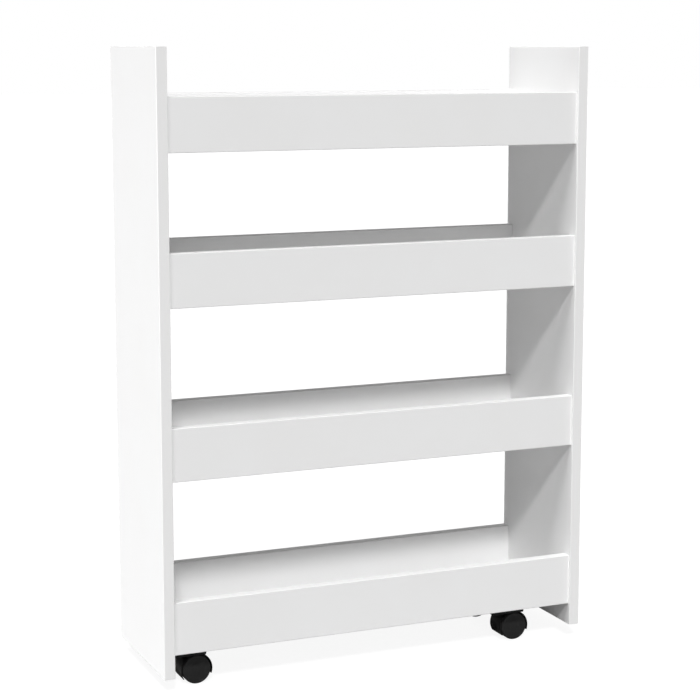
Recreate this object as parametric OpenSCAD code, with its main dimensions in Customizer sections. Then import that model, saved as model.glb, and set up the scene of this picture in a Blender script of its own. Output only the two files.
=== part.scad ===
// Rolling pantry cart: two side panels joined by four open trays, on four twin-wheel swivel casters.
// The origin is at floor level under the middle of the cart. +X is to its right and +Y to its back.

/* [Carcase] */
// Width over the two side panels
cart_w = 630; // [500:5:800]
// Depth of the side panels
cart_d = 206; // [200:2:320]
// Thickness of the side panels, rails and shelf boards
board_t = 15; // [15:1:18]
// Gap between the floor and the bottom of the side panels
panel_lift = 21.5; // [12:0.5:30]
// Height of the side panels above the top rails
panel_rise = 63.5; // [20:0.5:150]
// Radius on the banded edges of the boards
edge_r = 0.8; // [0.4:0.1:1.2]

/* [Trays] */
// Height of the front and back rails
rail_h = 72; // [60:1:100]
// Step down from the first tray to the second
step_1 = 201.5; // [120:0.5:300]
// Step down from the second tray to the third
step_2 = 230.5; // [120:0.5:300]
// Step down from the third tray to the fourth
step_3 = 235.5; // [120:0.5:300]
// How far the front rails stand back from the front edges of the side panels
front_setback = 4; // [0:0.5:8]
// How far the back rails stand in from the back edges of the side panels
back_setback = 1; // [1:0.5:5]

/* [Casters] */
// Diameter of each wheel
wheel_d = 40; // [38:0.5:40]
// Width over the hood
hood_w = 33; // [31:0.5:33]
// Horizontal distance from the swivel axis to the wheel axle
trail = 6; // [4:0.5:6]
// Thickness of the mounting block
block_h = 9.5; // [8.5:0.5:12]
// Side of the square mounting block
block_w = 51; // [48:1:51]
// Distance from the inner face of the left side panel to the left swivel axes
inset_left = 34; // [34:0.5:100]
// Distance from the inner face of the right side panel to the right swivel axes
inset_right = 80.5; // [34:0.5:100]
// Distance from the front face of the cart to the front swivel axes
inset_front = 47; // [47:0.5:50]
// Distance from the back face of the cart to the back swivel axes
inset_back = 42; // [42:0.5:50]

/* [Fittings] */
// Diameter of the wooden dowels
dowel_d = 8; // [6:1:8]
// Length of the wooden dowels
dowel_len = 25; // [22:1:25]
// Diameter of the cam locks
cam_d = 15; // [15:0.5:16]
// Distance from a rail's end to the centre of its cam lock
cam_inset = 24; // [24:1:34]
// Height of the cam locks above the bottom of the rail
cam_z = 46; // [40:1:46]
// Height of the rail end dowels above the bottom of the rail
dowel_z = 22; // [20:1:26]

/* [Hidden] */
$fn = 64;
eps = 0.01;
fit_gap = 0.05;

inner_w = cart_w - 2 * board_t;
front_rail_y = -cart_d / 2 + front_setback + board_t / 2;
back_rail_y = cart_d / 2 - back_setback - board_t / 2;
shelf_y0 = front_rail_y + board_t / 2;
shelf_y1 = back_rail_y - board_t / 2;
shelf_d = shelf_y1 - shelf_y0;
shelf_mid_y = (shelf_y0 + shelf_y1) / 2;
SIDES = [-1, 1];

// Depth of a dowel in the piece that it enters through a face
dowel_shallow = 10;
dowel_hole_d = dowel_d + 2 * fit_gap;
hole_spare = 0.5;
board_end_dowel_y = 50;
board_edge_dowel_x = [-inner_w / 5, 0, inner_w / 5];

bolt_thread_d = 5;
bolt_thread_len = 10;
bolt_collar_d = 7.8;
bolt_collar_t = 1.2;
bolt_neck_d = 4.4;
bolt_head_d = 6.6;
bolt_head_t = 2.5;
bolt_hole_d = bolt_collar_d + 0.3;
cam_hole_depth = 13;
cam_h = 11;
cam_slot_d = 5.4;
cam_pocket_d = 7.6;
cam_pocket_t = 4.6;
cam_cross = [6, 1.4, 2];
cover_flange_d = cam_d + 2.2;
cover_flange_t = 0.8;
cover_plug_t = 1.4;

wheel_r = wheel_d / 2;
wheel_inner_y = 5.8;
wheel_outer_y = hood_w / 2 - 0.3;
wheel_w = wheel_outer_y - wheel_inner_y;
wheel_rim_t = 3.5;
wheel_round = 1.2;
wheel_disc_t = 2;
wheel_dish = 0.4;
wheel_hub_r = 4.6;
axle_r = 2;
axle_len = 27;
axle_bore_depth = axle_len / 2 + 0.5 - wheel_inner_y;

hood_inner_r = wheel_r + 1.3;
hood_t = 1.2;
hood_r = hood_inner_r + hood_t;
hood_round = 1;
hood_web_t = 8;
hood_lip_leading = 12.5;
hood_lip_trailing = 7;
hood_slant = atan((hood_lip_leading - hood_lip_trailing) / (2 * hood_r));
hood_flat = 0.5;
hood_top_z = wheel_r + hood_r - hood_flat;
hood_collar_r = 12;
socket_wall_r = 5.5;
socket_wall_z = wheel_r + 5;
socket_z = socket_wall_z + 1.5;

pin_r = 3;
pin_z = socket_z + 0.5;
pin_head_r = 5.5;
pin_head_t = 2.2;
ring_z = socket_z + 4;
ring_t = 1;
ring_outer_r = 3.9;
ring_inner_r = 2.4;
ring_gap = 1.6;
ring_play = 0.3;
washer_r = 9.5;
washer_t = 0.8;
washer_gap = 0.2;

block_z = hood_top_z + washer_gap + washer_t;
block_top_z = block_z + block_h;
block_shift = -(block_w / 2 - 17.5);
block_round = 3;
screw_inset = 6.5;
screw_r = 2;
screw_len = 16;
screw_head_r = 3.7;
screw_head_t = 2.8;
screw_recess_r = 4.2;
screw_recess_h = 3;
screw_x = [
    block_shift - block_w / 2 + screw_inset,
    block_shift + block_w / 2 - screw_inset
];
screw_y = [-block_w / 2 + screw_inset, block_w / 2 - screw_inset];

caster_x_left = -inner_w / 2 + inset_left;
caster_x_right = inner_w / 2 - inset_right;
caster_y_front = -cart_d / 2 + inset_front;
caster_y_back = cart_d / 2 - inset_back;
CASTERS = [
    ["front_left", caster_x_left, caster_y_front],
    ["front_right", caster_x_right, caster_y_front],
    ["back_left", caster_x_left, caster_y_back],
    ["back_right", caster_x_right, caster_y_back]
];
CASTER_PIECES = ["block", "kingpin", "washer", "ring", "hood", "axle", "wheel_front", "wheel_back"];

// Underside of each tray, from the top one down. The bottom one rests on the caster blocks.
tray_z = [
    block_top_z + step_3 + step_2 + step_1,
    block_top_z + step_3 + step_2,
    block_top_z + step_3,
    block_top_z
];
TIERS = [for (i = [0:3]) i];
panel_h = tray_z[0] + rail_h + panel_rise - panel_lift;

function tray_name(kind, i) = str(kind, "_", i + 1);
function caster_name(c, piece) = str("caster_", c[0], "_", piece);

// ---- Shared shapes ----

// Rectangle with round corners, its centre at the origin
module round_rect(w, h, r) {
    square([w - 2 * r, h], center = true);
    square([w, h - 2 * r], center = true);
    for (x = SIDES, y = SIDES)
        translate([x * (w / 2 - r), y * (h / 2 - r)]) circle(r = r);
}

// Cylinder along +X from the origin
module rod_x(d, len) {
    rotate([0, 90, 0]) cylinder(d = d, h = len);
}

// Cylinder along +Y from the origin
module rod_y(d, len) {
    rotate([-90, 0, 0]) cylinder(d = d, h = len);
}

// Puts its children at both ends of a tray, with +X pointing into the tray from the side panel
module at_tray_ends() {
    translate([-inner_w / 2, 0, 0]) children();
    mirror([1, 0, 0]) translate([-inner_w / 2, 0, 0]) children();
}

// Puts its children at the panel ends of both rails of a tray
module at_rail_ends() {
    for (y = [front_rail_y, back_rail_y])
        translate([0, y, 0]) at_tray_ends() children();
}

// ---- Holes, each where its fitting goes ----

module rail_end_holes() {
    translate([-dowel_shallow - hole_spare, 0, dowel_z])
        rod_x(dowel_hole_d, dowel_len + 2 * hole_spare);
    translate([-bolt_thread_len - hole_spare, 0, cam_z])
        rod_x(bolt_thread_d + 2 * fit_gap, bolt_thread_len + 2 * hole_spare);
    translate([0, 0, cam_z]) rod_x(bolt_hole_d, cam_inset);
    translate([cam_inset, board_t / 2 - cam_hole_depth, cam_z])
        rod_y(cam_d, cam_hole_depth + eps);
}

module board_end_holes() {
    for (side = SIDES)
        translate([
            -dowel_shallow - hole_spare,
            shelf_mid_y + side * board_end_dowel_y,
            board_t / 2
        ])
            rod_x(dowel_hole_d, dowel_len + 2 * hole_spare);
}

// Starts in the rail and runs into the shelf board
module board_edge_holes() {
    start = dowel_shallow + hole_spare;
    for (x = board_edge_dowel_x) {
        translate([x, shelf_y0 - start, board_t / 2])
            rod_y(dowel_hole_d, dowel_len + 2 * hole_spare);
        translate([x, shelf_y1 + start, board_t / 2])
            mirror([0, 1, 0]) rod_y(dowel_hole_d, dowel_len + 2 * hole_spare);
    }
}

module screw_holes() {
    for (c = CASTERS, x = screw_x, y = screw_y)
        translate([c[1] + x, c[2] + y, block_z])
            cylinder(r = screw_r + fit_gap, h = screw_recess_h + screw_len);
}

// ---- Carcase ----

module side_panel(side) {
    color("white") difference() {
        translate([side * (cart_w - board_t) / 2, 0, panel_lift]) intersection() {
            linear_extrude(panel_h) round_rect(board_t, cart_d, edge_r);
            translate([0, cart_d / 2, panel_h / 2]) rotate([90, 0, 0])
                linear_extrude(cart_d) round_rect(board_t, panel_h, edge_r);
        }
        for (z = tray_z) translate([0, 0, z]) {
            at_rail_ends() rail_end_holes();
            at_tray_ends() board_end_holes();
        }
    }
}

module shelf_board(i) {
    color("white") difference() {
        translate([-inner_w / 2, shelf_y0, tray_z[i]]) cube([inner_w, shelf_d, board_t]);
        translate([0, 0, tray_z[i]]) {
            at_tray_ends() board_end_holes();
            board_edge_holes();
        }
        if (i == len(tray_z) - 1) screw_holes();
    }
}

module rail(i, rail_y) {
    color("white") difference() {
        translate([-inner_w / 2, rail_y, tray_z[i] + rail_h / 2]) rotate([90, 0, 90])
            linear_extrude(inner_w) round_rect(board_t, rail_h, edge_r);
        translate([0, 0, tray_z[i]]) {
            at_rail_ends() rail_end_holes();
            board_edge_holes();
        }
    }
}

// ---- Fittings ----

module dowel() {
    chamfer = 0.8;
    color("burlywood") rotate([0, 90, 0]) rotate_extrude() polygon([
        [0, 0],
        [dowel_d / 2 - chamfer, 0],
        [dowel_d / 2, chamfer],
        [dowel_d / 2, dowel_len - chamfer],
        [dowel_d / 2 - chamfer, dowel_len],
        [0, dowel_len]
    ]);
}

module rail_end_dowels() {
    for (z = tray_z)
        translate([0, 0, z + dowel_z]) at_rail_ends()
            translate([-dowel_shallow, 0, 0]) dowel();
}

module board_end_dowels() {
    for (z = tray_z, side = SIDES)
        translate([0, shelf_mid_y + side * board_end_dowel_y, z + board_t / 2])
            at_tray_ends() translate([-dowel_shallow, 0, 0]) dowel();
}

module board_edge_dowels() {
    for (z = tray_z, x = board_edge_dowel_x) translate([x, 0, z + board_t / 2]) {
        translate([0, shelf_y0 - dowel_shallow, 0]) rotate([0, 0, 90]) dowel();
        translate([0, shelf_y1 + dowel_shallow, 0]) rotate([0, 0, -90]) dowel();
    }
}

// Cam bolt along +X, its thread in the side panel and its head in the cam lock
module cam_bolt() {
    neck_len = cam_inset - bolt_head_t / 2;
    color("silver") {
        translate([-bolt_thread_len, 0, 0]) rod_x(bolt_thread_d, bolt_thread_len + eps);
        rod_x(bolt_collar_d, bolt_collar_t);
        rod_x(bolt_neck_d, neck_len + eps);
        translate([neck_len, 0, 0]) rod_x(bolt_head_d, bolt_head_t);
    }
}

module cam_lock() {
    color("silver") difference() {
        translate([cam_inset, board_t / 2 - cover_plug_t - fit_gap - cam_h, 0])
            rod_y(cam_d - 2 * fit_gap, cam_h);
        rod_x(cam_slot_d, cam_inset);
        translate([cam_inset - cam_pocket_t / 2, 0, 0]) rod_x(cam_pocket_d, cam_pocket_t);
        for (turn = [45, 135])
            translate([cam_inset, board_t / 2 - cover_plug_t, 0]) rotate([0, turn, 0])
                cube([cam_cross[0], 2 * cam_cross[2], cam_cross[1]], center = true);
    }
}

module cam_cover() {
    color("white") translate([cam_inset, board_t / 2, 0]) {
        rod_y(cover_flange_d, cover_flange_t);
        translate([0, -cover_plug_t, 0])
            rod_y(cam_d - 4 * fit_gap, cover_plug_t + eps);
    }
}

module at_cams() {
    for (z = tray_z) translate([0, 0, z + cam_z]) at_rail_ends() children();
}

module caster_screws() {
    color("silver") for (c = CASTERS, x = screw_x, y = screw_y)
        translate([c[1] + x, c[2] + y, block_z]) {
            head_z = screw_recess_h - screw_head_t;
            translate([0, 0, head_z]) cylinder(r = screw_head_r, h = screw_head_t);
            translate([0, 0, screw_recess_h - eps]) cylinder(r = screw_r, h = screw_len - 2);
        }
}

// ---- Caster, with its swivel axis on Z and its wheels trailing towards +X ----

module caster_block() {
    color("dimgray") difference() {
        translate([block_shift, 0, block_z])
            linear_extrude(block_h) round_rect(block_w, block_w, block_round);
        translate([0, 0, block_z - eps]) cylinder(r = pin_r + fit_gap, h = block_h + 2 * eps);
        translate([0, 0, block_top_z - pin_head_t - fit_gap])
            cylinder(r = pin_head_r + fit_gap, h = pin_head_t + 1);
        for (x = screw_x, y = screw_y) translate([x, y, block_z - eps]) {
            cylinder(r = screw_r + fit_gap, h = block_h + 1);
            cylinder(r = screw_recess_r, h = screw_recess_h + eps);
        }
    }
}

module kingpin() {
    color("silver") difference() {
        union() {
            translate([0, 0, pin_z]) cylinder(r = pin_r, h = block_top_z - pin_z);
            translate([0, 0, block_top_z - pin_head_t]) cylinder(r = pin_head_r, h = pin_head_t);
        }
        translate([0, 0, ring_z - fit_gap]) difference() {
            cylinder(r = pin_r + 1, h = ring_t + 2 * fit_gap);
            translate([0, 0, -eps])
                cylinder(r = ring_inner_r - fit_gap, h = ring_t + 2 * fit_gap + 2 * eps);
        }
    }
}

module caster_washer() {
    color("lightgray") translate([0, 0, block_z - washer_t]) difference() {
        cylinder(r = washer_r, h = washer_t);
        translate([0, 0, -eps]) cylinder(r = pin_r + fit_gap, h = washer_t + 2 * eps);
    }
}

module caster_ring() {
    color("silver") translate([0, 0, ring_z]) difference() {
        cylinder(r = ring_outer_r, h = ring_t);
        translate([0, 0, -eps]) cylinder(r = ring_inner_r, h = ring_t + 2 * eps);
        translate([-ring_outer_r - 1, -ring_gap / 2, -eps])
            cube([ring_outer_r + 1, ring_gap, ring_t + 2 * eps]);
    }
}

// A shape turned about the wheel axle from a profile whose Y runs along the axle
module about_axle() {
    translate([trail, 0, wheel_r]) rotate([-90, 0, 0]) rotate_extrude($fn = 96) children();
}

// Rim over both wheels and the web that stands between them
module hood_shell() {
    about_axle() {
        intersection() {
            round_rect(2 * hood_r, hood_w, hood_round);
            translate([hood_inner_r, -hood_w / 2]) square([hood_t, hood_w]);
        }
        translate([0, -hood_web_t / 2]) square([hood_inner_r + eps, hood_web_t]);
    }
}

// What is cut away above the hood's flat crown, and below its lower edge, which slants down
// towards the leading end
module beyond_hood() {
    translate([-2 * hood_r, -hood_w, hood_top_z]) cube([4 * hood_r, 2 * hood_w, hood_r]);
    translate([trail - hood_r, -hood_w, wheel_r - hood_lip_leading]) rotate([0, -hood_slant, 0])
        translate([-hood_r, 0, -2 * hood_r]) cube([4 * hood_r, 2 * hood_w, 2 * hood_r]);
}

// Boss around the swivel axis, cut away where the wheels turn
module hood_collar() {
    difference() {
        translate([0, 0, wheel_r]) cylinder(r = hood_collar_r, h = hood_top_z - wheel_r);
        about_axle() for (side = SIDES)
            translate([0, side * (hood_web_t + hood_w) / 2 - hood_w / 2])
                square([hood_inner_r, hood_w]);
    }
}

module caster_hood() {
    color("dimgray") difference() {
        union() {
            hood_shell();
            hood_collar();
            translate([0, 0, socket_wall_z])
                cylinder(r = socket_wall_r, h = hood_top_z - socket_wall_z - 1);
        }
        beyond_hood();
        translate([0, 0, socket_z]) cylinder(r = pin_r + fit_gap, h = hood_top_z);
        translate([0, 0, ring_z - ring_play])
            cylinder(r = ring_outer_r + ring_play, h = ring_t + 2 * ring_play);
        translate([trail, -hood_w / 2, wheel_r]) rod_y(2 * (axle_r + fit_gap / 2), hood_w);
    }
}

module caster_axle() {
    color("silver") translate([trail, -axle_len / 2, wheel_r]) rod_y(2 * axle_r, axle_len);
}

// Half section of a wheel, from its inner face at the bottom to its outer face at the top
module wheel_profile() {
    difference() {
        union() {
            translate([wheel_r - wheel_rim_t / 2, wheel_w / 2])
                round_rect(wheel_rim_t, wheel_w, wheel_round);
            translate([0, wheel_w - wheel_dish - wheel_disc_t])
                square([wheel_r - wheel_rim_t / 2, wheel_disc_t]);
            square([wheel_hub_r, wheel_w - wheel_dish]);
        }
        translate([-1, -1]) square([axle_r + fit_gap + 1, axle_bore_depth + 1]);
    }
}

// side is -1 for the wheel nearer the front and 1 for the one nearer the back
module caster_wheel(side) {
    color("dimgray") translate([trail, side * wheel_inner_y, wheel_r])
        rotate([-90 * side, 0, 0]) rotate_extrude($fn = 96) wheel_profile();
}

module caster_piece(piece) {
    if (piece == "block") caster_block();
    if (piece == "kingpin") kingpin();
    if (piece == "washer") caster_washer();
    if (piece == "ring") caster_ring();
    if (piece == "hood") caster_hood();
    if (piece == "axle") caster_axle();
    if (piece == "wheel_front") caster_wheel(-1);
    if (piece == "wheel_back") caster_wheel(1);
}

// ---- The cart ----

side_panel(-1);  // side_panel_left
side_panel(1);  // side_panel_right
for (i = TIERS) {
    shelf_board(i);
    rail(i, front_rail_y);
    rail(i, back_rail_y);
}
rail_end_dowels();
board_end_dowels();
board_edge_dowels();
at_cams() cam_bolt();  // cam_bolts
at_cams() cam_lock();  // cam_locks
at_cams() cam_cover();  // cam_covers
caster_screws();
for (c = CASTERS, piece = CASTER_PIECES) {
    translate([c[1], c[2], 0]) caster_piece(piece);
}
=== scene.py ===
import math

import bmesh
import bpy
from mathutils import Matrix, Vector


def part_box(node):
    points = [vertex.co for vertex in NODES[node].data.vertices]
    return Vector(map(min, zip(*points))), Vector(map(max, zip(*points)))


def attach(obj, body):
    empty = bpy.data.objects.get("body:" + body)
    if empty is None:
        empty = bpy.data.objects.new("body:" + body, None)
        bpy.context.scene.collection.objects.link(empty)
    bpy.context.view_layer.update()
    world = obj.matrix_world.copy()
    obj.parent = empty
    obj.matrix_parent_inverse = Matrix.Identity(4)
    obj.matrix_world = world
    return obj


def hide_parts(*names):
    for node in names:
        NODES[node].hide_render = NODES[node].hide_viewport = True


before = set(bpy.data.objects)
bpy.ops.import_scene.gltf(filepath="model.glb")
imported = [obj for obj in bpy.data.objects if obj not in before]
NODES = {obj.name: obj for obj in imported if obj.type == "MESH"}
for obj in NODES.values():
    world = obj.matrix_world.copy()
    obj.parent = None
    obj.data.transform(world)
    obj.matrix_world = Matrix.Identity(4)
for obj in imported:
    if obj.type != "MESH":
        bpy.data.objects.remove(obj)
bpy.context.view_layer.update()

SCENE = bpy.context.scene
MM = 0.001

CASTERS = ["front_left", "front_right", "back_left", "back_right"]
TRAYS = [1, 2, 3, 4]
PANELS = ["side_panel_left", "side_panel_right"]
SHELVES = [f"shelf_board_{i}" for i in TRAYS]
RAILS = [f"{side}_rail_{i}" for side in ("front", "back") for i in TRAYS]


def grey(value, warmth=0.0):
    """A grey whose red is raised and whose blue is lowered by its warmth."""
    return (value * (1 + warmth), value, value * (1 - warmth))


# ---- Camera, light and floor ----

# Where the camera stands, which way it looks, and its lens
CAMERA_AT = Vector((-1.025, -2.385, 0.8555))
CAMERA_YAW = 23.19
CAMERA_PITCH = 8.21
CAMERA_LENS = 95.7
CAMERA_SHIFT_Y = -0.05

# Strength of the surround that lights the cart evenly from every side
EVEN_LIGHT = 0.172
# The floor's width, the light it throws back, and how white it looks to the camera
FLOOR_SIZE = 60
FLOOR_BOUNCE = 0.35
FLOOR_WHITE = 0.9
FLOOR_GLOW = 1.12
FLOOR_GLOW_SHARE = 0.8


def make_camera():
    data = bpy.data.cameras.new("camera")
    data.sensor_width = 36
    data.lens = CAMERA_LENS
    data.shift_y = CAMERA_SHIFT_Y
    data.clip_end = 100
    camera = bpy.data.objects.new("camera", data)
    SCENE.collection.objects.link(camera)
    camera.location = CAMERA_AT
    camera.rotation_euler = (math.radians(90 - CAMERA_PITCH), 0, -math.radians(CAMERA_YAW))
    SCENE.camera = camera


def sun(name, azimuth, elevation, strength, angle, glare=True):
    """A sun that shines from that azimuth, where 0 is the cart's front and -90 its left."""
    data = bpy.data.lights.new(name, "SUN")
    data.energy = strength
    data.angle = math.radians(angle)
    lamp = bpy.data.objects.new(name, data)
    SCENE.collection.objects.link(lamp)
    a, e = math.radians(azimuth), math.radians(elevation)
    towards = Vector((math.sin(a) * math.cos(e), -math.cos(a) * math.cos(e), math.sin(e)))
    lamp.rotation_euler = towards.to_track_quat("Z", "Y").to_euler()
    lamp.visible_glossy = glare


def make_world():
    """A white surround that lights the cart evenly and dimly, and looks white to the camera."""
    world = bpy.data.worlds.new("studio")
    SCENE.world = world
    world.use_nodes = True
    tree = world.node_tree
    tree.nodes.clear()
    seen = tree.nodes.new("ShaderNodeBackground")
    light = tree.nodes.new("ShaderNodeBackground")
    light.inputs["Strength"].default_value = EVEN_LIGHT
    for background in (seen, light):
        background.inputs["Color"].default_value = (1, 1, 1, 1)
    path = tree.nodes.new("ShaderNodeLightPath")
    mix = tree.nodes.new("ShaderNodeMixShader")
    out = tree.nodes.new("ShaderNodeOutputWorld")
    tree.links.new(path.outputs["Is Camera Ray"], mix.inputs["Fac"])
    tree.links.new(light.outputs[0], mix.inputs[1])
    tree.links.new(seen.outputs[0], mix.inputs[2])
    tree.links.new(mix.outputs[0], out.inputs["Surface"])


def make_floor():
    """A white light table: it looks almost evenly white, and throws back only a little light."""
    mesh = bpy.data.meshes.new("floor")
    half = FLOOR_SIZE / 2
    corners = [(-half, -half, 0), (half, -half, 0), (half, half, 0), (-half, half, 0)]
    mesh.from_pydata(corners, [], [(0, 1, 2, 3)])
    floor = bpy.data.objects.new("floor", mesh)
    SCENE.collection.objects.link(floor)
    material = bpy.data.materials.new("floor_paint")
    material.use_nodes = True
    tree = material.node_tree
    tree.nodes.clear()
    thrown = tree.nodes.new("ShaderNodeBsdfDiffuse")
    thrown.inputs["Color"].default_value = (*grey(FLOOR_BOUNCE), 1)
    shaded = tree.nodes.new("ShaderNodeBsdfDiffuse")
    shaded.inputs["Color"].default_value = (*grey(FLOOR_WHITE), 1)
    glow = tree.nodes.new("ShaderNodeEmission")
    glow.inputs["Strength"].default_value = FLOOR_GLOW
    seen = tree.nodes.new("ShaderNodeMixShader")
    seen.inputs["Fac"].default_value = FLOOR_GLOW_SHARE
    path = tree.nodes.new("ShaderNodeLightPath")
    mix = tree.nodes.new("ShaderNodeMixShader")
    out = tree.nodes.new("ShaderNodeOutputMaterial")
    tree.links.new(shaded.outputs[0], seen.inputs[1])
    tree.links.new(glow.outputs[0], seen.inputs[2])
    tree.links.new(path.outputs["Is Camera Ray"], mix.inputs["Fac"])
    tree.links.new(thrown.outputs[0], mix.inputs[1])
    tree.links.new(seen.outputs[0], mix.inputs[2])
    tree.links.new(mix.outputs[0], out.inputs["Surface"])
    mesh.materials.append(material)


make_camera()
sun("key_light", -17.6, 43, 2.0, 6)
sun("top_light", -50, 65, 1.56, 14)
sun("left_light", -90, 22, 0.82, 5)
sun("low_left_light", -90, 0.1, 1.06, 0.1)
sun("right_light", 90, 6, 1.3, 10, glare=False)
sun("back_light", 180, 6, 1.6, 10, glare=False)
make_world()
make_floor()
SCENE.view_settings.view_transform = "Standard"


# ---- Material helpers ----

# Most of a noise texture's values lie in this range
NOISE_RANGE = (0.3, 0.7)


class Surface:
    """A material with a Principled shader, and short ways to add patterns to it."""

    def __init__(self, name, roughness, metallic=0.0, specular=0.5):
        self.material = bpy.data.materials.new(name)
        self.material.use_nodes = True
        self.tree = self.material.node_tree
        self.shader = self.tree.nodes["Principled BSDF"]
        self.shader.inputs["Roughness"].default_value = roughness
        self.shader.inputs["Metallic"].default_value = metallic
        self.shader.inputs["Specular IOR Level"].default_value = specular
        coordinates = self.tree.nodes.new("ShaderNodeTexCoord")
        self.place = coordinates.outputs["Object"]
        self.share = coordinates.outputs["Generated"]

    def link(self, source, target):
        if hasattr(source, "is_output"):
            self.tree.links.new(source, target)
        else:
            target.default_value = source

    def noise(self, size, detail=2.0, stretch=(1, 1, 1)):
        """Noise from 0 to 1 whose lumps are about size metres wide, longer along a small stretch."""
        scaled = self.tree.nodes.new("ShaderNodeVectorMath")
        scaled.operation = "MULTIPLY"
        scaled.inputs[1].default_value = stretch
        self.link(self.place, scaled.inputs[0])
        noise = self.tree.nodes.new("ShaderNodeTexNoise")
        noise.inputs["Scale"].default_value = 1 / size
        noise.inputs["Detail"].default_value = detail
        self.link(scaled.outputs[0], noise.inputs["Vector"])
        return noise.outputs["Fac"]

    def mottle(self, size, detail, low=0, high=1):
        """Noise whose usual range is spread from low to high."""
        return self.between(self.noise(size, detail), *NOISE_RANGE, low, high)

    def cells(self, size):
        """Distance from the middle of cells about size metres wide, as on spark-eroded moulds."""
        cells = self.tree.nodes.new("ShaderNodeTexVoronoi")
        cells.inputs["Scale"].default_value = 1 / size
        self.link(self.place, cells.inputs["Vector"])
        return cells.outputs["Distance"]

    def math(self, operation, a, b=0.0, c=0.0):
        node = self.tree.nodes.new("ShaderNodeMath")
        node.operation = operation
        for value, target in zip((a, b, c), node.inputs):
            self.link(value, target)
        return node.outputs[0]

    def axis(self, coordinates, letter):
        split = self.tree.nodes.new("ShaderNodeSeparateXYZ")
        self.link(coordinates, split.inputs[0])
        return split.outputs[letter]

    def between(self, value, low, high, new_low, new_high):
        """value, taken from low to high, mapped evenly to the new range and kept inside it."""
        node = self.tree.nodes.new("ShaderNodeMapRange")
        self.link(value, node.inputs["Value"])
        node.inputs["From Min"].default_value = low
        node.inputs["From Max"].default_value = high
        node.inputs["To Min"].default_value = new_low
        node.inputs["To Max"].default_value = new_high
        return node.outputs["Result"]

    def blend(self, amount, first, second):
        """A colour that goes from first to second."""
        node = self.tree.nodes.new("ShaderNodeMix")
        node.data_type = "RGBA"
        self.link(amount, node.inputs["Factor"])
        for value, name in ((first, "A"), (second, "B")):
            sockets = [s for s in node.inputs if s.name == name and s.type == "RGBA"]
            self.link(value if hasattr(value, "is_output") else (*value, 1), sockets[0])
        return [s for s in node.outputs if s.type == "RGBA"][0]

    def colour(self, value):
        self.link(value, self.shader.inputs["Base Color"])

    def roughness(self, value):
        self.link(value, self.shader.inputs["Roughness"])

    def bump(self, height, depth):
        """height from 0 to 1 raises the surface by depth metres."""
        node = self.tree.nodes.new("ShaderNodeBump")
        node.inputs["Distance"].default_value = depth
        if self.shader.inputs["Normal"].is_linked:
            self.link(self.shader.inputs["Normal"].links[0].from_socket, node.inputs["Normal"])
        self.link(height, node.inputs["Height"])
        self.link(node.outputs["Normal"], self.shader.inputs["Normal"])

    def from_axle(self):
        """Distance from the piece's own middle line along Y, where 1 is half of its width."""
        sides = [self.math("MULTIPLY_ADD", self.axis(self.share, a), 2.0, -1.0) for a in "XZ"]
        squares = self.math("MULTIPLY_ADD", sides[0], sides[0], self.math("MULTIPLY", sides[1], sides[1]))
        return self.math("SQRT", squares)


# ---- Materials ----

# Brightness of the boards' white, and the thickness of the bands glued to their edges
WHITE = 0.865
BAND_T = 0.8 * MM


def melamine(name, bands):
    """Satin white melamine. bands are (axis, board size): the axes whose two edges carry a glued band."""
    s = Surface(name, 0.4)
    cloud = s.mottle(70 * MM, 3)
    base = s.blend(cloud, grey(WHITE - 0.008, 0.002), grey(WHITE + 0.004, -0.001))
    speck = s.between(s.noise(0.9 * MM, 1), 0.62, 0.74, 0, 0.35)
    base = s.blend(speck, base, grey(WHITE - 0.03, 0.004))
    rough = s.mottle(9 * MM, 4, 0.36, 0.44)
    edge, seam = 0.0, 0.0
    for letter, size in bands:
        share = s.axis(s.share, letter)
        from_edge = s.math("SUBTRACT", 0.5, s.math("ABSOLUTE", s.math("SUBTRACT", share, 0.5)))
        edge = s.math("MAXIMUM", s.math("LESS_THAN", from_edge, BAND_T / size), edge)
        line = s.math("COMPARE", from_edge, BAND_T / size, 0.09 * MM / size)
        seam = s.math("MAXIMUM", line, seam)
    if bands:
        base = s.blend(s.math("MULTIPLY", edge, 0.6), base, grey(WHITE - 0.012, 0.004))
        base = s.blend(s.math("MULTIPLY", seam, 0.45), base, grey(0.55, 0.02))
        rough = s.math("MULTIPLY_ADD", edge, -0.06, rough)
    s.colour(base)
    s.roughness(rough)
    s.bump(s.noise(1.6 * MM, 2), 0.02 * MM)
    s.bump(s.noise(0.35 * MM, 1), 0.006 * MM)
    if bands:
        s.bump(s.math("SUBTRACT", 1.0, seam), 0.03 * MM)
    return s.material


def black_plastic(name, base, grain, grain_depth):
    """Moulded black plastic with a spark-eroded grain and faint flow marks."""
    s = Surface(name, 0.5, specular=0.25)
    flow = s.mottle(6 * MM, 3)
    colour = s.blend(flow, grey(base * 0.86), grey(base * 1.12))
    dust = s.between(s.noise(0.6 * MM, 3), 0.62, 0.8, 0, 0.5)
    s.colour(s.blend(dust, colour, grey(base * 2.2, 0.02)))
    s.roughness(s.mottle(1.2 * MM, 4, 0.36, 0.52))
    s.bump(s.cells(grain), grain_depth)
    return s.material


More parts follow.
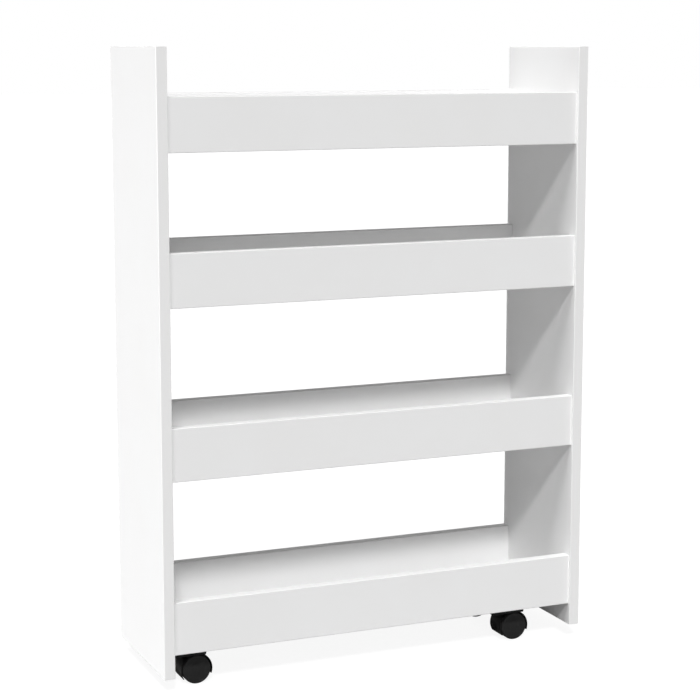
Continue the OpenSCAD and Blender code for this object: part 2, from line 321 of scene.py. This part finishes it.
def black_nylon():
    """Moulded wheel: faint turned rings on the disc, and a duller, slightly dusty tread."""
    s = Surface("wheel_nylon", 0.42, specular=0.3)
    radius = s.from_axle()
    rings = s.math("SINE", s.math("MULTIPLY", radius, 190.0))
    tread = s.between(radius, 0.955, 0.985, 0, 1)
    flow = s.mottle(5 * MM, 3)
    face = s.blend(flow, grey(0.0125), grey(0.0155))
    dusty = s.between(s.noise(1.5 * MM, 4), 0.35, 0.7, 0.1, 0.9)
    s.colour(s.blend(s.math("MULTIPLY", tread, dusty), face, grey(0.026, 0.02)))
    worn = s.between(tread, 0, 1, 0.0, 0.2)
    s.roughness(s.math("ADD", s.mottle(0.9 * MM, 3, 0.36, 0.48), worn))
    s.bump(s.math("MULTIPLY", rings, s.math("SUBTRACT", 1.0, tread)), 0.004 * MM)
    s.bump(s.noise(0.3 * MM, 2), 0.012 * MM)
    return s.material


def metal(name, base, warmth, roughness, grain, stretch, grain_depth):
    """Plated or cast metal with a fine grain, drawn out along the axes with a small stretch."""
    s = Surface(name, roughness, 1.0)
    patch = s.mottle(2.5 * MM, 3)
    s.colour(s.blend(patch, grey(base * 0.9, warmth), grey(base * 1.06, warmth * 0.4)))
    scratch = s.noise(grain, 3, stretch)
    s.roughness(s.between(scratch, *NOISE_RANGE, roughness - 0.08, roughness + 0.12))
    s.bump(scratch, grain_depth)
    return s.material


def white_plastic():
    """The cap of a cam lock, a shade warmer and smoother than the boards."""
    s = Surface("cap_plastic", 0.32)
    flow = s.mottle(4 * MM, 2)
    s.colour(s.blend(flow, grey(0.82, 0.004), grey(0.845, 0.001)))
    s.roughness(s.mottle(0.8 * MM, 3, 0.26, 0.38))
    s.bump(s.noise(0.4 * MM, 2), 0.008 * MM)
    return s.material


def nylon():
    """Natural nylon, milky and slightly waxy."""
    s = Surface("washer_nylon", 0.5)
    s.shader.inputs["Subsurface Weight"].default_value = 0.2
    s.shader.inputs["Subsurface Scale"].default_value = 1 * MM
    flow = s.mottle(2 * MM, 3)
    s.colour(s.blend(flow, (0.64, 0.62, 0.56), (0.72, 0.70, 0.65)))
    s.roughness(s.mottle(0.6 * MM, 2, 0.42, 0.58))
    s.bump(s.noise(0.5 * MM, 2), 0.01 * MM)
    return s.material


def beech(name, along):
    """Bare beech with its grain along one axis: rays, pores and soft growth bands."""
    s = Surface(name, 0.65, specular=0.3)
    long_way = [0.06 if letter == along else 1.0 for letter in "XYZ"]
    band = s.between(s.noise(2.2 * MM, 2, long_way), 0.35, 0.65, 0, 1)
    wood = s.blend(band, (0.50, 0.31, 0.155), (0.60, 0.40, 0.22))
    fibre = s.noise(0.35 * MM, 3, long_way)
    pore = s.between(fibre, 0.6, 0.7, 0, 0.7)
    s.colour(s.blend(pore, wood, (0.30, 0.17, 0.08)))
    s.roughness(s.between(fibre, *NOISE_RANGE, 0.55, 0.75))
    s.bump(fibre, 0.03 * MM)
    return s.material


def put_on(node, material):
    mesh = NODES[node].data
    mesh.materials.clear()
    mesh.materials.append(material)


# Radii of the softened edges
BOARD_EDGE = 0.5 * MM
BLOCK_EDGE = 0.5 * MM
HOOD_EDGE = 0.25 * MM


def soften(node, radius):
    """Rounds the sharp edges of a CAD node a little, once its loose triangles are joined."""
    weld = NODES[node].modifiers.new("join", "WELD")
    weld.merge_threshold = 0.001 * MM
    bevel = NODES[node].modifiers.new("soft_edges", "BEVEL")
    bevel.width = radius
    bevel.segments = 3
    bevel.limit_method = "ANGLE"
    bevel.angle_limit = math.radians(40)


def size_of(node):
    low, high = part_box(node)
    return [b - a for a, b in zip(low, high)]


PANEL_SIZE = size_of(PANELS[0])
RAIL_SIZE = size_of(RAILS[0])
PANEL_WHITE = melamine("panel_melamine", [("Y", PANEL_SIZE[1]), ("Z", PANEL_SIZE[2])])
RAIL_WHITE = melamine("rail_melamine", [("Z", RAIL_SIZE[2])])
SHELF_WHITE = melamine("shelf_melamine", [])
HOOD_BLACK = black_plastic("hood_plastic", 0.006, 0.45 * MM, 0.02 * MM)
BLOCK_BLACK = black_plastic("block_plastic", 0.006, 0.7 * MM, 0.03 * MM)
WHEEL_BLACK = black_nylon()
# How much a metal's grain is squeezed along each axis
EVEN, ALONG_X, ALONG_Z, FINE_ALONG_Z = (1, 1, 1), (0.15, 1, 1), (1, 1, 0.15), (1, 1, 0.1)
SCREW_STEEL = metal("zinc_plated_steel", 0.52, 0.03, 0.32, 0.3 * MM, ALONG_Z, 0.006 * MM)
BOLT_STEEL = metal("bolt_steel", 0.5, 0.01, 0.3, 0.3 * MM, ALONG_X, 0.006 * MM)
PIN_STEEL = metal("bright_steel", 0.56, 0.0, 0.24, 0.2 * MM, FINE_ALONG_Z, 0.004 * MM)
CAST_ZINC = metal("cast_zinc", 0.5, -0.01, 0.42, 0.5 * MM, EVEN, 0.02 * MM)
CAP_WHITE = white_plastic()
WASHER_NYLON = nylon()
BEECH_X = beech("beech_along_x", "X")
BEECH_Y = beech("beech_along_y", "Y")


def dress_boards():
    for names, material in ((PANELS, PANEL_WHITE), (SHELVES, SHELF_WHITE), (RAILS, RAIL_WHITE)):
        for name in names:
            put_on(name, material)
            soften(name, BOARD_EDGE)


def dress_casters():
    for corner in CASTERS:
        caster = f"caster_{corner}"
        soften(f"{caster}_block", BLOCK_EDGE)
        soften(f"{caster}_hood", HOOD_EDGE)
        put_on(f"{caster}_block", BLOCK_BLACK)
        put_on(f"{caster}_hood", HOOD_BLACK)
        put_on(f"{caster}_washer", WASHER_NYLON)
        for piece in ("kingpin", "ring", "axle"):
            put_on(f"{caster}_{piece}", PIN_STEEL)


dress_boards()
dress_casters()
put_on("cam_locks", CAST_ZINC)


# ---- Mesh helpers ----

# Edges that turn by more than this many degrees stay sharp
CREASE_ANGLE = 35


def ring_of(bm, radii, height):
    """Points spread evenly around +Z at that height, each at its own radius."""
    angles = [math.tau * i / len(radii) for i in range(len(radii))]
    places = [(r * math.cos(a), r * math.sin(a), height) for r, a in zip(radii, angles)]
    return [bm.verts.new(place) for place in places]


def bridge(bm, rings):
    """Joins each ring to the next with a band of faces. A ring of one point closes the shape."""
    for low, high in zip(rings, rings[1:]):
        for i in range(max(len(low), len(high))):
            j = i + 1
            corners = [low[i % len(low)], low[j % len(low)], high[j % len(high)], high[i % len(high)]]
            bm.faces.new(list(dict.fromkeys(corners)))


def turned(bm, profile, segments):
    """Turns a half section of (radius, height) points about +Z. Ends on the axis close it."""
    rings = []
    for radius, height in profile:
        if radius == 0:
            rings.append([bm.verts.new((0, 0, height))])
        else:
            rings.append(ring_of(bm, [radius] * segments, height))
    bridge(bm, rings)


def arc(centre, radius, start, end, steps):
    """Points of a round stretch in a half section, from angle start to end in degrees."""
    angles = [math.radians(start + (end - start) * i / steps) for i in range(steps + 1)]
    return [(centre[0] + radius * math.cos(a), centre[1] + radius * math.sin(a)) for a in angles]


def threaded(bm, root, crest, pitch, start, end, segments):
    """A threaded rod about +Z between two heights, open at both ends, that fades out at its ends."""
    rows_per_turn = 6
    count = round((end - start) / pitch * rows_per_turn)
    rings = []
    for k in range(count + 1):
        height = start + (end - start) * k / count
        fade = min(1, k / rows_per_turn, (count - k) / rows_per_turn)
        phases = [(height / pitch - i / segments) % 1 for i in range(segments)]
        ridges = [max(0, 1 - abs(phase - 0.5) * 4) * fade for phase in phases]
        rings.append(ring_of(bm, [root + (crest - root) * ridge for ridge in ridges], height))
    bridge(bm, rings)
    return rings[0], rings[-1]


def in_metres(bm):
    """A mesh in metres from one in millimetres, with the points that fall together joined."""
    bmesh.ops.remove_doubles(bm, verts=bm.verts, dist=1e-4)
    bmesh.ops.scale(bm, vec=(MM, MM, MM), verts=bm.verts)
    bmesh.ops.recalc_face_normals(bm, faces=bm.faces)
    mesh = bpy.data.meshes.new("pattern")
    bm.to_mesh(mesh)
    bm.free()
    return mesh


def repeated(mesh, places):
    """One bmesh with a copy of mesh at each place, where a place is a matrix."""
    bm = bmesh.new()
    for place in places:
        before = len(bm.verts)
        bm.from_mesh(mesh)
        bm.verts.ensure_lookup_table()
        bmesh.ops.transform(bm, matrix=place, verts=bm.verts[before:])
    return bm


def add_piece(name, bm, material, body, replaced):
    """A visible piece that rides on a body and stands in for one CAD node."""
    mesh = bpy.data.meshes.new(name)
    bmesh.ops.recalc_face_normals(bm, faces=bm.faces)
    bm.to_mesh(mesh)
    bm.free()
    mesh.shade_smooth()
    mesh.set_sharp_from_angle(angle=math.radians(CREASE_ANGLE))
    mesh.materials.append(material)
    piece = bpy.data.objects.new(name, mesh)
    SCENE.collection.objects.link(piece)
    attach(piece, body)
    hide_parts(replaced)


def pointing(place, direction):
    """A matrix that puts its own +Z along direction, at place."""
    return Matrix.Translation(place) @ Vector(direction).to_track_quat("Z", "X").to_matrix().to_4x4()


# ---- Where the fittings are, from the boards' boxes ----

# Distances from a rail's end and bottom, a shelf board's middle, and a caster block's edges
CAM_INSET = 24 * MM
CAM_Z = 46 * MM
RAIL_DOWEL_Z = 22 * MM
SHELF_DOWEL_Y = 50 * MM
SCREW_INSET = 6.5 * MM


def rail_ends():
    """For each rail end: its middle at the rail's bottom, the way into the rail, and its back face."""
    for name in RAILS:
        low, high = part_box(name)
        y = (low[1] + high[1]) / 2
        yield Vector((low[0], y, low[2])), 1, high[1]
        yield Vector((high[0], y, low[2])), -1, high[1]


# ---- Fittings ----

# Sizes of a dowel, in millimetres
DOWEL_R = 4.0
DOWEL_LEN = 25.0
DOWEL_SHALLOW = 10.0
DOWEL_CHAMFER = 0.8
FLUTES = 18
FLUTE_DEPTH = 0.22
FLUTE_START = 2
POINTS_PER_FLUTE = 4


def fluted_dowel():
    """A beech dowel from the origin along +Z, with pressed flutes and chamfered ends."""
    bm = bmesh.new()
    half = [(0, DOWEL_CHAMFER, 0), (DOWEL_CHAMFER, 0, 0.4), (FLUTE_START, 0, 1)]
    stations = half + [(DOWEL_LEN - height, cut, press) for height, cut, press in reversed(half)]
    count = FLUTES * POINTS_PER_FLUTE
    waves = [(1 - math.cos(math.tau * i / POINTS_PER_FLUTE)) / 2 for i in range(count)]
    rings = []
    for height, cut, press in stations:
        radii = [DOWEL_R - cut - FLUTE_DEPTH * press * wave for wave in waves]
        rings.append(ring_of(bm, radii, height))
    bridge(bm, rings)
    bm.faces.new(rings[0])
    bm.faces.new(rings[-1])
    return in_metres(bm)


def make_dowels():
    dowel = fluted_dowel()
    places = []
    for end, into, _ in rail_ends():
        start = end + Vector((-into * DOWEL_SHALLOW * MM, 0, RAIL_DOWEL_Z))
        places.append(pointing(start, (into, 0, 0)))
    add_piece("rail_end_dowels_fluted", repeated(dowel, places), BEECH_X, "cart",
              "rail_end_dowels")
    ends, edges = [], []
    for name in SHELVES:
        low, high = (Vector(c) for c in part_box(name))
        middle = (low + high) / 2
        for side in (-1, 1):
            for x, into in ((low[0], 1), (high[0], -1)):
                start = Vector((x - into * DOWEL_SHALLOW * MM, middle[1] + side * SHELF_DOWEL_Y, middle[2]))
                ends.append(pointing(start, (into, 0, 0)))
        for x in (-(high[0] - low[0]) / 5, 0, (high[0] - low[0]) / 5):
            for y, into in ((low[1], 1), (high[1], -1)):
                start = Vector((x, y - into * DOWEL_SHALLOW * MM, middle[2]))
                edges.append(pointing(start, (0, into, 0)))
    add_piece("board_end_dowels_fluted", repeated(dowel, ends), BEECH_X, "cart",
              "board_end_dowels")
    add_piece("board_edge_dowels_fluted", repeated(dowel, edges), BEECH_Y, "cart",
              "board_edge_dowels")


def cam_bolt():
    """A cam bolt along +Z, its collar's face at the origin and its thread below."""
    bm = bmesh.new()
    first, last = threaded(bm, root=1.9, crest=2.5, pitch=2.2, start=-9.4, end=0, segments=20)
    bridge(bm, [first, [bm.verts.new((0, 0, -10))]])
    collar = [(1.9, 0), (3.6, 0), (3.9, 0.3), (3.9, 0.9), (3.6, 1.2), (2.4, 1.2)]
    neck = [(2.2, 1.5), (2.2, 18), (1.7, 18.6), (1.7, 21.8), (2.2, 22.4), (2.2, 22.75)]
    head = [(3.1, 22.75), (3.3, 22.95), (3.3, 24.4), (2.6, 25.1), (0, 25.25)]
    turned(bm, collar + neck + head, len(last))
    return in_metres(bm)


def cam_cap():
    """The cap that covers a cam lock, lying on +Z with its plug below: a low dome with a ring."""
    bm = bmesh.new()
    plug = [(0, -1.4), (7.1, -1.4), (7.4, -1.1), (7.4, 0), (8.35, 0)]
    rim = arc((8.35, 0.25), 0.25, -90, 0, 3) + arc((8.1, 0.25), 0.5, 8, 80, 5)
    dome = [(7.2, 0.76), (6.5, 0.77), (6.35, 0.66), (6.05, 0.66), (5.9, 0.775), (4, 0.79), (0, 0.8)]
    turned(bm, plug + rim + dome, 56)
    return in_metres(bm)


def make_cam_fittings():
    bolts, caps = [], []
    for end, into, back in rail_ends():
        bolts.append(pointing(end + Vector((0, 0, CAM_Z)), (into, 0, 0)))
        caps.append(pointing(Vector((end[0] + into * CAM_INSET, back, end[2] + CAM_Z)), (0, 1, 0)))
    add_piece("cam_bolts_threaded", repeated(cam_bolt(), bolts), BOLT_STEEL, "cart",
              "cam_bolts")
    add_piece("cam_caps", repeated(cam_cap(), caps), CAP_WHITE, "cart", "cam_covers")


def cross_recess():
    """The space that a cross driver fills in a screw head: a cross that narrows upwards."""
    bm = bmesh.new()
    rings = []
    for height, reach, half in [(-0.5, 2.1, 0.52), (1.3, 1.2, 0.36), (1.75, 0.3, 0.2)]:
        ring = []
        for turn in (45, 135, 225, 315):
            spin = Matrix.Rotation(math.radians(turn), 3, "Z")
            for x, y in ((reach, -half), (reach, half), (half, half)):
                ring.append(bm.verts.new(spin @ Vector((x, y, height))))
        rings.append(ring)
    bridge(bm, rings)
    bm.faces.new(rings[0])
    bm.faces.new(rings[-1])
    return in_metres(bm)


def cut_out(mesh, cutter):
    """A copy of mesh without the space that the cutter fills."""
    solid = bpy.data.objects.new("solid", mesh)
    tool = bpy.data.objects.new("tool", cutter)
    for pattern in (solid, tool):
        SCENE.collection.objects.link(pattern)
    cut = solid.modifiers.new("cut", "BOOLEAN")
    cut.object = tool
    cut.operation = "DIFFERENCE"
    cut.solver = "EXACT"
    result = bpy.data.meshes.new_from_object(solid.evaluated_get(bpy.context.evaluated_depsgraph_get()))
    for pattern in (solid, tool):
        bpy.data.objects.remove(pattern)
    return result


def caster_screw():
    """A pan-head screw that points up, its head's lower face at the origin."""
    bm = bmesh.new()
    root, head_h = 1.45, 2.8
    first, last = threaded(bm, root, crest=2.0, pitch=1.6, start=head_h, end=16.3, segments=24)
    bridge(bm, [last, [bm.verts.new((0, 0, 16.8))]])
    head = arc((2.5, 1.2), 1.2, -90, 0, 6) + [(3.7, 2.5), (3.4, head_h), (root, head_h)]
    turned(bm, head, len(first))
    lowest = [edge for edge in bm.edges if max(v.co.z for v in edge.verts) < 0.001]
    bmesh.ops.edgeloop_fill(bm, edges=lowest)
    return cut_out(in_metres(bm), cross_recess())


def make_caster_screws():
    places = []
    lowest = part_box("caster_screws")[0][2]
    for corner in CASTERS:
        low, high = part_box(f"caster_{corner}_block")
        for x in (low[0] + SCREW_INSET, high[0] - SCREW_INSET):
            for y in (low[1] + SCREW_INSET, high[1] - SCREW_INSET):
                places.append(Matrix.Translation((x, y, lowest)))
    add_piece("caster_screws_threaded", repeated(caster_screw(), places), SCREW_STEEL, "cart",
              "caster_screws")


make_dowels()
make_cam_fittings()
make_caster_screws()


# ---- Wheels ----

# Sizes of a wheel, in millimetres
BORE_R = 2.05
BORE_DEPTH = 8.2
HUB_R = 4.6
RIM_T = 3.5
RIM_CORNER = 1.2
DISC_T = 2
DISC_DISH = 0.4
TREAD_CROWN = 0.06


def wheel_profile(radius, width):
    """Half section of a wheel from its hub bore to the middle of its outer face, in millimetres."""
    inner = radius - RIM_T
    face = width - DISC_DISH
    disc = face - DISC_T
    shoulder = radius - TREAD_CROWN * 0.3
    corner = radius - TREAD_CROWN - RIM_CORNER
    bore = [(0, BORE_DEPTH), (BORE_R, BORE_DEPTH), (BORE_R, 0.3), (BORE_R + 0.3, 0)]
    hub = [(HUB_R - 0.3, 0), (HUB_R, 0.3)] + arc((HUB_R + 0.8, disc - 0.8), 0.8, 180, 90, 3)
    rim = arc((inner - 1, disc - 1), 1, 90, 0, 3) + arc((inner + 0.5, 0.5), 0.5, 180, 270, 3)
    tread = arc((corner, RIM_CORNER), RIM_CORNER, -90, 0, 6)
    tread += [(shoulder, width * 0.3), (radius, width * 0.5), (shoulder, width * 0.7)]
    tread += arc((corner, width - RIM_CORNER), RIM_CORNER, 0, 90, 6)
    lip = arc((inner + 0.9, width - 0.35), 0.35, 90, 160, 3)
    lip += arc((inner - 0.1, face + 0.3), 0.3, -60, -90, 2)
    cap = [(12, face + 0.06), (7.2, face + 0.1), (6.9, face + 0.22), (6.4, face + 0.26)]
    cap += [(3, face + 0.3), (0, face + 0.31)]
    return bore + hub + rim + tread + lip + cap


def make_wheels():
    for corner in CASTERS:
        for side, out in (("front", -1), ("back", 1)):
            node = f"caster_{corner}_wheel_{side}"
            low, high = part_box(node)
            middle = [(a + b) / 2 for a, b in zip(low, high)]
            radius = (high[2] - low[2]) / 2 / MM
            width = (high[1] - low[1]) / MM
            bm = bmesh.new()
            turned(bm, wheel_profile(radius, width), 80)
            inner_y = high[1] if out < 0 else low[1]
            place = pointing(Vector((middle[0], inner_y, middle[2])), (0, out, 0))
            add_piece(f"wheel_{corner}_{side}", repeated(in_metres(bm), [place]), WHEEL_BLACK,
                      f"{corner}_wheel_{side}", node)


make_wheels()
